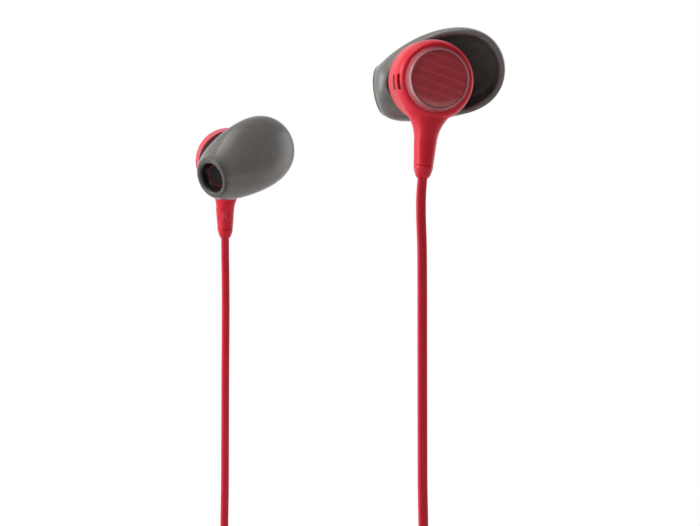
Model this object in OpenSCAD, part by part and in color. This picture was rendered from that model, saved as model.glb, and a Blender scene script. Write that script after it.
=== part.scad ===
// Wired in-ear earphones: a mirrored pair of earbuds on flat red leads, an in-line
// remote on the left lead, a splitter, and a coiled main lead with a 3.5 mm plug.
// Millimetres, +Z up. The wearer faces -X, so the left earbud is the one at -Y.
// The origin is the middle of the left ear tip's mouthpiece, where the ear holds it.

/* [Pair] */
// Distance between the middles of the two drum housings
ear_spacing = 150; // [130:1:170]
// Turn of the left earbud that brings its front end inward, degrees
left_yaw = -3; // [-10:0.5:10]
// Tilt of the left earbud that lifts its inner side, degrees
left_pitch = 4.5; // [-10:0.5:10]
// Swing of the left stem's foot towards the back, degrees
left_roll = -3.5; // [-10:0.5:10]
// Turn of the right earbud that brings its front end inward, degrees
right_yaw = 5; // [-10:0.5:10]
// Tilt of the right earbud that lifts its inner side, degrees
right_pitch = -15; // [-20:0.5:10]
// Swing of the right stem's foot towards the back, degrees
right_roll = 3; // [-10:0.5:10]

/* [Drum housing] */
// Diameter of the loudspeaker that the drum holds
driver_d = 14; // [13:0.1:16]
// Clearance round the loudspeaker
driver_gap = 0.15; // [0.05:0.05:0.3]
// Wall of the drum
drum_wall = 1.0; // [0.8:0.05:1.4]
// Front face of the drum, outward from its middle plane
drum_front = 5.0; // [4.8:0.1:6]
// Thickness of the front wall
front_wall_t = 1.1; // [1.1:0.1:1.4]
// Length of the rounded front edge along the drum's axis
edge_length = 3.2; // [2:0.1:4]
// Height of the rear cover's dome
cover_h = 1.6; // [1.4:0.1:2]
// Wall of the rear cover
cover_wall = 0.8; // [0.6:0.05:1]

/* [Face] */
// Outer diameter of the bezel ring's foot
bezel_d = 13.2; // [12.8:0.1:13.6]
// How far the ring's flank leans in towards the axis
bezel_lean = 0.65; // [0.4:0.05:0.8]
// Width of the ring's front edge
bezel_edge = 0.2; // [0.15:0.05:0.3]
// Width of the ledge in the ring that the face disc sits on
bezel_ledge = 0.55; // [0.4:0.05:0.7]
// Height of the bezel ring along the axis
bezel_h = 2.2; // [1.8:0.1:2.4]
// Depth that the bezel ring sits in the front wall
bezel_sunk = 0.35; // [0.2:0.05:0.5]
// Thickness of the face disc
disc_t = 0.9; // [0.6:0.05:1]
// Depth of the face disc's front behind the ring's edge
disc_set = 0.3; // [0.2:0.05:0.4]

/* [Vents] */
// Width of a vent slot along the drum's axis
vent_w = 0.9; // [0.8:0.05:1.1]
// Length of a vent slot round the drum
vent_l = 3.2; // [2:0.1:4]
// Distance between the two vent slots
vent_pitch = 2.1; // [1.8:0.1:2.2]
// Thickness of a vent screen
vent_screen_t = 0.2; // [0.15:0.05:0.3]

/* [Stem] */
// Length of the stem from the middle of the drum to the nose
stem_l = 17.2; // [15:0.1:20]
// Half width of the stem below the drum
stem_half_top = 2.25; // [2:0.05:2.6]
// Half width of the stem at the nose
stem_half_end = 1.9; // [1.7:0.05:2]
// Radius of the fillet between drum and stem
stem_fillet = 8; // [5:0.1:9]
// Length of the stem's glossy nose
nose_l = 2.4; // [2:0.1:4]

/* [Ear tip] */
// Wall of the silicone bell
tip_wall = 0.75; // [0.6:0.05:0.75]
// Thickness of the bell's free edge
lip_t = 1.15; // [0.8:0.05:1.3]
// Length of the bell's oval mouth from its middle to the free back end
mouth_a = 12.2; // [12:0.1:12.4]
// Length of the bell's oval mouth from its middle to the front end behind the drum
mouth_front = 12.4; // [12.2:0.1:12.6]
// Half height of the bell's oval mouth
mouth_b = 8.4; // [8.2:0.1:8.6]
// Outer radius of the mouthpiece that enters the ear
mouthpiece_r = 5.2; // [5.1:0.05:5.3]
// Radius of the sound opening in the mouthpiece
throat_r = 4.3; // [4.0:0.05:4.4]
// Outer radius of the core that grips the nozzle
core_r = 4.0; // [3.8:0.05:4.2]
// Length of the core's grip on the nozzle
core_l = 4.7; // [4:0.1:5]

/* [Nozzle] */
// Outer radius of the nozzle tube
nozzle_r = 2.8; // [2.6:0.05:3]
// Height of the barb lip round the nozzle's end
barb_h = 0.25; // [0.15:0.05:0.3]
// Running clearance of the ear tip on the barb lip
tip_fit = 0.05; // [0.02:0.01:0.1]
// Bore radius of the nozzle
nozzle_bore_r = 2.1; // [1.8:0.05:2.2]
// Distance of the nozzle's end behind the mouthpiece
nozzle_back = 2.3; // [2:0.1:3]

/* [Loudspeaker] */
// Height of the loudspeaker frame
frame_h = 2.6; // [2.4:0.1:3]
// Outer radius of the steel yoke
yoke_r = 4.6; // [4.4:0.05:4.8]
// Height of the yoke
yoke_h = 2.7; // [2.4:0.1:2.7]
// Magnet radius
magnet_r = 3.1; // [2.6:0.05:3.2]
// Magnet height
magnet_h = 1.5; // [1:0.05:1.5]
// Air gap on each side of the voice coil
coil_gap = 0.2; // [0.15:0.01:0.22]

/* [Leads] */
// Height of the drums' middles above the surface that the slack rests on
drum_height = 108.6; // [106:0.2:110]
// Width of the flat earbud leads
lead_w = 2.0; // [1.8:0.1:2.2]
// Thickness of the flat earbud leads
lead_t = 1.2; // [1.0:0.1:1.3]
// Diameter of the round main lead
main_d = 2.6; // [2.4:0.1:2.7]

/* [Main coil] */
// Radius of the innermost turn
coil_inner_r = 11.8; // [11.6:0.1:12]
// Distance between turns side by side
coil_pitch = 3.2; // [3.1:0.05:3.2]
// Distance between the two layers
coil_layer = 3.1; // [3.1:0.1:3.6]
// Width of the strap that ties the coil
tie_w = 5; // [3:0.5:8]
// Thickness of the strap
tie_t = 0.8; // [0.6:0.1:0.9]

/* [Remote] */
// Length of the remote
remote_l = 34; // [30:1:36]
// Width of the remote
remote_w = 7.6; // [7:0.1:9]
// Thickness of the remote
remote_t = 5.6; // [5.4:0.1:6.4]
// Wall of the remote's shells
remote_wall = 0.9; // [0.7:0.05:0.95]
// Length of the button
button_l = 9; // [7:0.5:11]
// Width of the button
button_w = 4.2; // [3.6:0.1:4.4]
// Height that the button stands proud of the shell
button_proud = 0.5; // [0.4:0.05:0.8]
// Travel of the button
button_travel = 0.35; // [0.2:0.05:0.4]

/* [Splitter] */
// Length of the splitter
split_l = 14; // [13:0.5:15]
// Width of the splitter
split_w = 7; // [6.4:0.1:7.6]
// Thickness of the splitter
split_t = 4; // [3.6:0.1:5]
// Distance between the two leads where they enter the splitter
split_pitch = 3; // [2.8:0.1:3.2]

/* [Plug] */
// Diameter of the plug's pin
pin_d = 3.5; // [3.45:0.01:3.5]
// Length of the plug's pin
pin_l = 14; // [14:0.1:15]
// Diameter of the plug's moulded body
plug_d = 6.4; // [5.8:0.1:6.4]
// Length of the plug's moulded body
plug_l = 15; // [12:0.5:18]
// Length of the plug's strain relief
relief_l = 9; // [7:0.5:12]

/* [Hidden] */
$fn = 64;

housing_red = [0.86, 0.10, 0.20];
stem_red = [0.66, 0.06, 0.14];
cord_red = [0.77, 0.13, 0.21];
disc_red = [0.58, 0.17, 0.20];
ring_red = [0.70, 0.20, 0.26];
silicone_grey = [0.36, 0.35, 0.34];
mesh_black = [0.08, 0.08, 0.08];
steel = [0.62, 0.63, 0.65];
copper = [0.72, 0.42, 0.25];
board_green = [0.10, 0.36, 0.20];
film_amber = [0.80, 0.66, 0.42];
frame_black = [0.14, 0.14, 0.15];

touch = 0.05;            // gap between pieces that are glued or snapped together
eps = 0.01;              // overrun of a cut past a face

// Axial stack of the drum, measured inward from its middle plane
frame_seat = -1.4;
plate_t = 0.3;
spigot_h = 0.5;
frame_top = frame_seat + frame_h;
seam = frame_top + plate_t + spigot_h;
cover_top = seam + cover_h;
chamber_front = -drum_front + front_wall_t;

// Radii of the drum
driver_r = driver_d / 2;
cavity_r = driver_r + driver_gap;
drum_r = cavity_r + drum_wall;
chamber_r = driver_r - 0.65;
bezel_r = bezel_d / 2;
bezel_inner_r = bezel_r - bezel_lean - bezel_edge;
bezel_seat = -drum_front + bezel_sunk;
disc_r = bezel_inner_r - touch;
face_flat_r = bezel_r + 0.3;
disc_front = bezel_seat - bezel_h + disc_set;
disc_back = disc_front + disc_t;
cover_flat_r = drum_r - 1.95;

// Stem, measured from the middle of the drum
stem_x = -0.75;
stem_y = -2.4;
stem_half_depth = 2.1;
fillet_x = stem_half_top + stem_fillet;
fillet_z = sqrt((drum_r + stem_fillet) * (drum_r + stem_fillet) - fillet_x * fillet_x);
root_z = fillet_z * drum_r / (drum_r + stem_fillet);
root_half = fillet_x * drum_r / (drum_r + stem_fillet);
pocket_w = 2.4;
pocket_d = 1.9;
pocket_l = 4.4;
stem_end = stem_l + nose_l;

// Ear tip and nozzle, in the earbud's own frame
mouth_c = [3.65, 2.65, 1.7];
mouth_n = unit([0.2, 1, 0.25]);
mouth_turn = 20.5;
mouth_egg = 0.24;
mouth_dip = 2;           // how far the mouth's upper front edge lies back, behind the drum
mouth_lift = 1.7;         // how far its front end reaches forward to the drum
tip_c = [-6.75, 12.3, -2];
tip_n = unit([-0.82, 0.55, -0.19]);
nozzle_n = unit([-0.66, 0.74, -0.13]);
mouth_pull = 0.9;
throat_pull = 1.1;
barb_r = nozzle_r + barb_h;
core_bore_r = barb_r + tip_fit;
mouth_x = let (e = [cos(mouth_turn), 0, sin(mouth_turn)]) unit(e - (e * mouth_n) * mouth_n);
mouth_z = -cross(mouth_n, mouth_x);
throat_x = unit(mouth_x - (mouth_x * tip_n) * tip_n);
throat_z = -cross(tip_n, throat_x);
nozzle_end = tip_c - nozzle_back * tip_n;
nozzle_x = unit(throat_x - (throat_x * nozzle_n) * nozzle_n);
nozzle_z = -cross(nozzle_n, nozzle_x);

function unit(v) = v / norm(v);

// Poses: each earbud's own frame has its drum on the Y axis, inner side at +Y
function turned(p, yaw, pitch, roll) =
  let (x = p[0] * cos(roll) - p[2] * sin(roll), r = p[0] * sin(roll) + p[2] * cos(roll),
       y = p[1] * cos(pitch) - r * sin(pitch), z = p[1] * sin(pitch) + r * cos(pitch))
  [x * cos(yaw) - y * sin(yaw), x * sin(yaw) + y * cos(yaw), z];
function left_dir(p) = turned(p, left_yaw, left_pitch, left_roll);
function right_dir(p) = let (q = turned(p, right_yaw, right_pitch, right_roll)) [q[0], -q[1], q[2]];
origin_shift = [0, ear_spacing / 2, 0] - left_dir(tip_c);
function left_point(p) = left_dir(p) + [0, -ear_spacing / 2, 0] + origin_shift;
function right_point(p) = right_dir(p) + [0, ear_spacing / 2, 0] + origin_shift;

module left_side() {
  translate(left_point([0, 0, 0])) rotate([0, 0, left_yaw])
    rotate([left_pitch, 0, 0]) rotate([0, -left_roll, 0]) children();
}

module right_side() {
  translate(right_point([0, 0, 0])) mirror([0, 1, 0]) rotate([0, 0, right_yaw])
    rotate([right_pitch, 0, 0]) rotate([0, -right_roll, 0]) children();
}

// Turns a solid that stands on Z so that its axis runs inward along Y
module axial() {
  rotate([-90, 0, 0]) children();
}

// Turns a solid that stands on Z so that it points along a direction from a place
module along(place, dir) {
  translate(place) rotate([0, acos(dir[2]), atan2(dir[1], dir[0])]) children();
}

module disc_between(r, low, high) {
  translate([0, 0, low]) cylinder(r = r, h = high - low);
}

module ring_between(outer, inner, low, high) {
  difference() {
    disc_between(outer, low, high);
    disc_between(inner, low - 1, high + 1);
  }
}

// Points of a quarter ellipse, from angle a0 to a1 in steps
function quarter(c, rx, ry, a0, a1, steps) =
  [for (i = [0 : steps]) let (a = a0 + (a1 - a0) * i / steps) [c[0] + rx * cos(a), c[1] + ry * sin(a)]];

module drum_outside() {
  rotate_extrude()
    polygon(concat(
      [[0, -drum_front]],
      quarter([face_flat_r, -drum_front + edge_length], drum_r - face_flat_r, edge_length, -90, 0, 8),
      [[drum_r, seam], [0, seam]]));
}

// Half width of the stem at a height below the drum's middle
function stem_half(z) =
  z < root_z ? root_half :
  z < fillet_z ? fillet_x - sqrt(stem_fillet * stem_fillet - (fillet_z - z) * (fillet_z - z)) :
  stem_half_top + (stem_half_end - stem_half_top) * (z - fillet_z) / (stem_l - fillet_z);

stem_levels = concat([root_z - 1.6], [for (i = [0 : 6]) root_z + (fillet_z - root_z) * i / 6],
                     [for (i = [1 : 3]) fillet_z + (stem_l - fillet_z) * i / 3]);
stem_sides = 28;

// A rounded bar: each ring is a soft-cornered oval of the stem's width and depth
function stem_ring(z) =
  let (w = stem_half(z), grow = max(0, fillet_z - z) / (fillet_z - root_z + 1.6))
  [for (i = [0 : stem_sides - 1])
    let (a = 360 * i / stem_sides, c = cos(a), s = sin(a))
    [stem_x * min(1, z / fillet_z) + w * sign(c) * pow(abs(c), 0.85),
     stem_y + 0.9 * grow + (stem_half_depth + 1.3 * grow) * sign(s) * pow(abs(s), 0.85), -z]];

module loft(rings, sides) {
  count = len(rings);
  points = [for (ring = rings) for (p = ring) p];
  top = (count - 1) * sides;
  ends = [for (i = [1 : sides - 2]) each [[0, i + 1, i], [top, top + i, top + i + 1]]];
  walls = [for (k = [0 : count - 2]) for (i = [0 : sides - 1])
    let (a = k * sides + i, b = k * sides + (i + 1) % sides)
    each [[a, b + sides, a + sides], [a, b, b + sides]]];
  polyhedron(points, concat(ends, walls));
}

module housing() color(housing_red) difference() {
  union() {
    axial() drum_outside();
    loft([for (z = stem_levels) stem_ring(z)], stem_sides);
  }
  axial() {
    disc_between(bezel_r + touch, -drum_front - 1, bezel_seat);
    disc_between(bezel_inner_r - bezel_ledge, -drum_front, chamber_front + eps);
    disc_between(chamber_r, chamber_front, frame_seat + eps);
    disc_between(cavity_r, frame_seat, seam + 1);
  }
  vent_places() vent_slot(0, 3);
  vent_places() for (i = [-1 : 1]) translate([1, 0, i * vent_l / 4]) rotate([0, 90, 0])
    cylinder(r = 0.3, h = 2.4, center = true, $fn = 16);
  translate([stem_x, stem_y, -stem_l - 1])
    translate([-pocket_w / 2, -pocket_d / 2, 0]) cube([pocket_w, pocket_d, pocket_l + 1]);
  translate([stem_x, stem_y, -stem_l + 1]) cylinder(r = 0.9, h = stem_l - 1 - chamber_r + 1);
}

vent_mid = -2.95;   // place of the pair of slots along the drum's axis

// The front slot can be cut deeper: only the smaller chamber lies behind it
module vent_places() {
  for (k = [-1, 1])
    translate([k > 0 ? -cavity_r - 0.3 : -chamber_r - 0.6, vent_mid + k * vent_pitch / 2, -1.1])
      children();
}

// A straight slot that opens towards -X from the slot's floor
module vent_slot(low, high, inset = 0) {
  rotate([0, -90, 0]) translate([0, 0, low]) linear_extrude(high - low)
    square([vent_l - 2 * inset, vent_w - 2 * inset], center = true);
}

module vent_screens() color(mesh_black)
  vent_places() vent_slot(0, vent_screen_t, touch);

module stem_nose() color(stem_red) translate([stem_x, stem_y, -stem_l - nose_l]) rotate_extrude()
  polygon(concat([[0, 0], [lead_w / 2 + 0.15, 0]],
    quarter([lead_w / 2 + 0.15, nose_l], stem_half_end - lead_w / 2 - 0.2, nose_l, -90, 0, 5),
    [[0, nose_l]]));

module cord_anchor() color(cord_red)
  translate([stem_x - pocket_w / 2 + touch, stem_y - pocket_d / 2 + touch, -stem_l])
    cube([pocket_w - 2 * touch, pocket_d - 2 * touch, pocket_l - touch]);

module lead_wires() color(copper)
  for (k = [-1, 1]) translate([stem_x + k * 0.4, stem_y, -stem_l + pocket_l - touch])
    cylinder(r = 0.25, h = stem_l - pocket_l + touch - chamber_r + 0.8, $fn = 16);

// A cone with a flat front edge, and a ledge inside for the disc
module bezel_ring() color(ring_red) axial() rotate_extrude() {
  foot = bezel_seat - bezel_sunk - 0.15;
  ledge = disc_back + touch;
  polygon([[bezel_inner_r - bezel_ledge, bezel_seat], [bezel_r, bezel_seat], [bezel_r, foot],
    [bezel_r - bezel_lean, bezel_seat - bezel_h], [bezel_inner_r, bezel_seat - bezel_h],
    [bezel_inner_r, ledge], [bezel_inner_r - bezel_ledge, ledge]]);
}

module face_disc() color(disc_red) axial() disc_between(disc_r, disc_front, disc_back);

// Children stand on the nozzle's axis, with 0 at the nozzle's open end
module on_nozzle() {
  along(nozzle_end, nozzle_n) children();
}

module rear_cover() color(housing_red) difference() {
  union() {
    axial() {
      rotate_extrude() polygon(concat([[0, seam]],
        quarter([cover_flat_r, seam], drum_r - cover_flat_r, cover_h, 0, 90, 8), [[0, cover_top]]));
      disc_between(cavity_r - touch, seam - spigot_h, seam + eps);
    }
    intersection() {
      on_nozzle() {
        disc_between(nozzle_r, -core_l - 6, 0);
        disc_between(barb_r, -1, -0.2);
        disc_between(core_r - 0.2, -core_l - 5, -core_l - 0.1);
      }
      axial() disc_between(2 * drum_r, seam, 2 * drum_r);
    }
  }
  axial() {
    disc_between(cavity_r - 0.9, seam - spigot_h - 1, seam + eps);
    rotate_extrude() polygon(concat([[0, seam]],
      quarter([cover_flat_r - 0.9, seam], cavity_r - cover_flat_r, cover_h - cover_wall, 0, 90, 6),
      [[0, cover_top - cover_wall]]));
  }
  on_nozzle() {
    disc_between(nozzle_bore_r, -core_l - 8, 1);
    disc_between(nozzle_bore_r + 0.3, -0.4, 1);
  }
}

module nozzle_mesh() color(mesh_black)
  on_nozzle() disc_between(nozzle_bore_r + 0.3 - touch, -0.4, -0.1);

// Ear tip: rows of an oval that runs from the bell's mouth to the mouthpiece
tip_sides = 40;
tip_rows = 12;

function mouth_out(t) = cos(t) * mouth_x + sin(t) * mouth_z;
function mouth_point(t) =
  mouth_c + (cos(t) > 0 ? mouth_a : mouth_front) * cos(t) * mouth_x
  + mouth_b * sin(t) * (1 + mouth_egg * cos(t)) * mouth_z
  + [0, mouth_dip * pow(max(0, cos(t - 114)), 2) - mouth_lift * pow(max(0, -cos(t)), 2), 0];
function throat_out(t) = cos(t) * throat_x + sin(t) * throat_z;
function throat_point(t, r, back) = tip_c - back * tip_n + r * throat_out(t);

// Blend from the mouth (s = 0) to the mouthpiece (s = 1): each line leaves the mouth
// between its own direction and the mouthpiece's, spreads outward at the free end, and
// closes in on the mouthpiece at a slant
function bell_point(t, s) =
  let (m = mouth_point(t), e = throat_point(t, mouthpiece_r, 0.4), reach = norm(e - m),
       w = (1 - cos(t - 7)) / 2, spread = 0.19 + 0.13 * cos(t),
       slant = 32 - 30 * cos(t))
  (2 * s * s * s - 3 * s * s + 1) * m
  + (s * s * s - 2 * s * s + s) * mouth_pull * reach
    * unit((1 - w) * mouth_n + w * tip_n + spread * mouth_out(t))
  + (3 * s * s - 2 * s * s * s) * e
  + (s * s * s - s * s) * throat_pull * reach * (cos(slant) * tip_n - sin(slant) * throat_out(t));
function bell_normal(t, s) =
  unit(cross(bell_point(t + 1, s) - bell_point(t - 1, s),
             bell_point(t, min(1, s + 0.01)) - bell_point(t, max(0, s - 0.01))));
function bell_row(s, inset) =
  [for (i = [0 : tip_sides - 1]) let (t = 360 * i / tip_sides)
    inset == 0 ? bell_point(t, s) : bell_point(t, s) + inset * bell_normal(t, s)];
function throat_row(r, back) =
  [for (i = [0 : tip_sides - 1]) throat_point(360 * i / tip_sides, r, back)];
function nozzle_row(r, back) =
  [for (i = [0 : tip_sides - 1]) let (t = 360 * i / tip_sides)
    nozzle_end - back * nozzle_n + r * (cos(t) * nozzle_x + sin(t) * nozzle_z)];

module tube_loft(rings, sides) {
  count = len(rings);
  points = [for (ring = rings) for (p = ring) p];
  walls = [for (k = [0 : count - 1]) for (i = [0 : sides - 1])
    let (next = (k + 1) % count, a = k * sides + i, b = k * sides + (i + 1) % sides,
         c = next * sides + i, d = next * sides + (i + 1) % sides)
    each [[a, d, c], [a, b, d]]];
  polyhedron(points, walls);
}

// One closed tube: the bell's outside, the mouthpiece, the bore, the core, and the bell's inside
module ear_tip() color(silicone_grey) tube_loft(concat(
  [for (k = [0 : tip_rows]) bell_row(k / tip_rows, 0)],
  [throat_row(mouthpiece_r - 0.4, 0), throat_row(throat_r, 0), throat_row(throat_r - 0.8, 1.2)],
  [nozzle_row(core_bore_r, 0.1), nozzle_row(core_bore_r, core_l)],
  [nozzle_row(core_r, core_l), nozzle_row(core_r, 1.4), throat_row(core_r, 2)],
  [for (k = [tip_rows : -1 : 0]) let (s = k / tip_rows)
    bell_row(s, tip_wall + (lip_t - tip_wall) * pow(1 - s, 3))]), tip_sides);

module driver_frame() color(frame_black) axial() {
  ring_between(driver_r, driver_r - 0.75, frame_seat, frame_top);
  ring_between(driver_r - 0.7, yoke_r + touch, frame_seat, frame_seat + 0.6);
}

yoke_top = frame_seat + 0.9;
yoke_back = yoke_top - yoke_h;
yoke_floor = 0.6;
coil_ri = magnet_r + 0.2 + coil_gap;
coil_ro = yoke_r - 0.6 - coil_gap;

module yoke() color(steel) axial() difference() {
  disc_between(yoke_r, yoke_back, yoke_top);
  disc_between(yoke_r - 0.6, yoke_back + yoke_floor, yoke_top + 1);
}

module magnet() color(steel) axial()
  disc_between(magnet_r, yoke_back + yoke_floor, yoke_back + yoke_floor + magnet_h);

module pole_plate() color(steel) axial()
  disc_between(magnet_r + 0.2, yoke_back + yoke_floor + magnet_h, yoke_top);

module voice_coil() color(copper) axial()
  ring_between(coil_ro, coil_ri, yoke_top - 1.1, yoke_top + 0.8);

module diaphragm() color(film_amber) axial() rotate_extrude() {
  rim = driver_r - 0.95;
  base = yoke_top + 0.8;
  fold = (coil_ro + rim) / 2;
  polygon([[0, base + 0.55], [coil_ri, base], [coil_ro, base], [fold, base + 0.35], [rim, base],
    [rim, base + 0.2], [fold, base + 0.55], [coil_ro, base + 0.2], [coil_ri, base + 0.2], [0, base + 0.75]]);
}

module front_plate() color(steel) axial() difference() {
  disc_between(driver_r, frame_top, frame_top + plate_t);
  disc_between(0.8, frame_top - 1, frame_top + 1);
  for (i = [0 : 5]) rotate(60 * i) translate([driver_r * 0.5, 0, 0])
    disc_between(0.8, frame_top - 1, frame_top + 1);
}

module terminal_board() color(board_green)
  translate([-2, frame_seat - 0.7, -chamber_r + 0.5]) cube([4, 0.7, chamber_r - 0.6 - yoke_r]);

// Middle of the resting slack: halfway between the drums, on the surface below them
rest = (left_point([0, 0, 0]) + right_point([0, 0, 0])) / 2 - [0, 0, drum_height];

// Route of the leads on the surface, measured from the middle of the slack
foot_bend = 10;
ring_r = 22.5;                        // radius of the right lead's way round the coil
split_turn = 70;                      // direction of the splitter's mouth from the coil's middle
split_r = ring_r + split_pitch / 2;
split_z = split_t / 2;
left_foot = [-2.1, -75.8];
right_foot = [1.3, 83.1];
remote_x = 2;
remote_y = -29;
plug_place = [18.2, 44, plug_d / 2];
lead_z = lead_t / 2;
coil_z = tie_t + 0.1 + main_d / 2;
coil_turns = 2;                       // turns in each layer
coil_layers = 4;
coil_outer_r = coil_inner_r + coil_turns * coil_pitch;
coil_h = (coil_layers - 1) * coil_layer + main_d;
coil_sides = 6;
tube_sides = 8;

function arc(c, r, from, to, steps, z0, z1) =
  [for (i = [0 : steps]) let (a = from + (to - from) * i / steps)
    [c[0] + r * cos(a), c[1] + r * sin(a), z0 + (z1 - z0) * i / steps]];
// Bend of a hanging lead into the surface; way is +1 towards +Y and -1 towards -Y
function foot(place, way) =
  [for (a = [0 : 22.5 : 90])
    [place[0], place[1] + way * foot_bend * (1 - cos(a)), lead_z + foot_bend * (1 - sin(a))]];
// A place at the splitter, by radius from the coil's middle and distance past the mouth
function split_point(r, d) =
  [r * cos(split_turn) - d * sin(split_turn), r * sin(split_turn) + d * cos(split_turn), split_z];

left_start = left_point([stem_x, stem_y, -stem_end]) - rest;
left_out = left_dir([0, 0, -1]);
right_start = right_point([stem_x, stem_y, -stem_end]) - rest;
right_out = right_dir([0, 0, -1]);

left_upper_path = concat(
  [left_start, left_start + 2.5 * left_out],
  [for (z = [74, 52, 30]) [left_foot[0], left_foot[1], z]],
  foot(left_foot, 1),
  arc([8, -66], 10, 157.5, 90, 3, lead_z, lead_z),
  arc([8, -48], 8, -67.5, 90, 7, lead_z, lead_z),
  [[-5, -40, lead_z]],
  arc([-18, -34.5], 5.5, 270, 90, 6, lead_z, remote_t / 2),
  [[remote_x - remote_l / 2, remote_y, remote_t / 2]]);
left_lower_path = concat(
  [[remote_x + remote_l / 2, remote_y, remote_t / 2]],
  arc([19.5, -23], 6, -85, 0, 4, remote_t / 2, lead_z),
  [[ring_r + split_pitch, -11, lead_z]],
  arc([0, 0], ring_r + split_pitch, 0, 50, 4, lead_z, lead_z),
  [split_point(ring_r + split_pitch, -3), split_point(ring_r + split_pitch, 0)]);
right_path = concat(
  [right_start, right_start + 2.5 * right_out],
  [for (z = [78, 54, 30]) [right_foot[0], right_foot[1], z]],
  foot(right_foot, -1),
  arc([-10.2, 73.1], 11.5, -22.5, -90, 3, lead_z, lead_z),
  arc([-10.5, 49.6], 12, 112.5, 180, 3, lead_z, lead_z),
  [[-ring_r, 34, lead_z], [-ring_r, 17, lead_z]],
  arc([0, 0], ring_r, 180, 410, 15, lead_z, lead_z),
  [split_point(ring_r, -3), split_point(ring_r, 0)]);
main_lead_path = concat(
  [split_point(split_r, split_l)],
  arc([-10.1, 20.7], 8.1, split_turn, 180, 5, split_z, coil_z),
  [[-coil_outer_r, 10, coil_z], [-coil_outer_r, main_d, coil_z]]);
main_tail_path = [[coil_outer_r, main_d, coil_z + coil_h - main_d], [coil_outer_r, 9, 11.2], [18.2, 16, 9.6],
  [18.2, 24, 6.6], [18.2, 31, 4.2], plug_place - [0, 6, 0], plug_place];

// Coil: layers of turns that run inwards and outwards by turns, each followed by half a
// turn that climbs to the next one
layer_turn = 360 * coil_turns;
coil_end = coil_layers * layer_turn + (coil_layers - 1) * 180;
function coil_point(a) =
  let (k = floor(a / (layer_turn + 180)), b = a - k * (layer_turn + 180), over = max(0, b - layer_turn),
       way = k % 2 == 0 ? -1 : 1, begin = k % 2 == 0 ? coil_outer_r : coil_inner_r,
       r = begin + way * (coil_pitch * min(b, layer_turn) / 360 + 0.7 * sin(over)),
       z = coil_z + coil_layer * (k + (1 - cos(over)) / 2))
  [-r * cos(a), -r * sin(a), z];
coil_steps = coil_end / 15;
coil_path = concat([[-coil_outer_r, main_d, coil_z]],
  [for (i = [0 : coil_steps]) coil_point(15 * i)],
  [[coil_outer_r, main_d, coil_z + coil_h - main_d]]);

// Least gap between turns, measured between points more than half a turn apart
coil_gaps = [for (i = [0 : coil_steps]) for (j = [i + 13 : 1 : coil_steps])
  norm(coil_path[i + 1] - coil_path[j + 1])];
echo(coil_least_gap = min(coil_gaps) - main_d);

function tangent(path, i) =
  unit(path[min(i + 1, len(path) - 1)] - path[max(i - 1, 0)]);
// Direction across a tube that is level wherever the tube isn't upright
function across(t, upright) = norm([t[0], t[1]]) < 0.3 ? upright : unit([t[1], -t[0], 0]);

module swept(path, section, upright) {
  loft([for (i = [0 : len(path) - 1])
    let (t = tangent(path, i), w0 = across(t, upright), w = unit(w0 - (w0 * t) * t), h = cross(w, t))
    [for (q = section) rest + path[i] + q[0] * w + q[1] * h]], len(section));
}

flat_section = [[lead_w / 2, -lead_t / 4], [lead_w / 2, lead_t / 4], [lead_w / 3, lead_t / 2],
  [-lead_w / 3, lead_t / 2], [-lead_w / 2, lead_t / 4], [-lead_w / 2, -lead_t / 4],
  [-lead_w / 3, -lead_t / 2], [lead_w / 3, -lead_t / 2]];
function round_section(sides) =
  [for (i = [0 : sides - 1]) main_d / 2 * [cos(360 * i / sides), sin(360 * i / sides)]];

module left_cord_upper() color(cord_red) swept(left_upper_path, flat_section, [1, 0, 0]);
module left_cord_lower() color(cord_red) swept(left_lower_path, flat_section, [1, 0, 0]);
module right_cord() color(cord_red) swept(right_path, flat_section, [-1, 0, 0]);
module main_cord_lead() color(cord_red) swept(main_lead_path, round_section(tube_sides), [1, 0, 0]);
module main_cord_coil() color(cord_red) swept(coil_path, round_section(coil_sides), [1, 0, 0]);
module main_cord_tail() color(cord_red) swept(main_tail_path, round_section(tube_sides), [1, 0, 0]);

// A slab with rounded corners, its long side on X
module slab(l, w, r, low, high) {
  translate([0, 0, low]) linear_extrude(high - low)
    offset(r = r) square([l - 2 * r, w - 2 * r], center = true);
}

module at_split() {
  translate(rest + split_point(split_r, split_l / 2)) rotate([0, 0, split_turn + 90]) children();
}

split_wall = 0.9;

module y_split_half(flip) {
  difference() {
    union() {
      slab(split_l, split_w, 0.8, flip > 0 ? 0 : -split_t / 2 + 0.4, flip > 0 ? split_t / 2 - 0.4 : 0);
      slab(split_l - 0.8, split_w - 0.8, 0.6, flip > 0 ? 0 : -split_t / 2, flip > 0 ? split_t / 2 : 0);
    }
    slab(split_l - 2 * split_wall, split_w - 2 * split_wall, 0.4,
      flip > 0 ? -1 : -split_t / 2 + split_wall, flip > 0 ? split_t / 2 - split_wall : 1);
  }
}

module y_split_top() color(stem_red) at_split() y_split_half(1);
module y_split_base() color(stem_red) at_split() y_split_half(-1);
module y_split_clamp() color(frame_black) at_split()
  slab(split_l - 2 * split_wall - 1, split_w - 2 * split_wall - 2 * touch, 0.4,
    -split_t / 2 + split_wall, split_t / 2 - split_wall - touch);

module at_remote() {
  translate(rest + [remote_x, remote_y, remote_t / 2]) children();
}

roof = remote_t / 2 - remote_wall;     // inner face of the remote's top shell
flange_t = 0.5;
board_top = roof - flange_t - button_travel - touch - 0.8;
board_t = 0.8;
remote_r = 2.6;
mic_x = -11.5;

module remote_outside(low, high, step_low, step_high) {
  slab(remote_l, remote_w, remote_r, low + step_low, high - step_high);
  slab(remote_l - 1, remote_w - 1, remote_r - 0.5, low, high);
}

module remote_hollow(low, high) {
  slab(remote_l - 2 * remote_wall, remote_w - 2 * remote_wall, remote_r - remote_wall, low, high);
}

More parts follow.
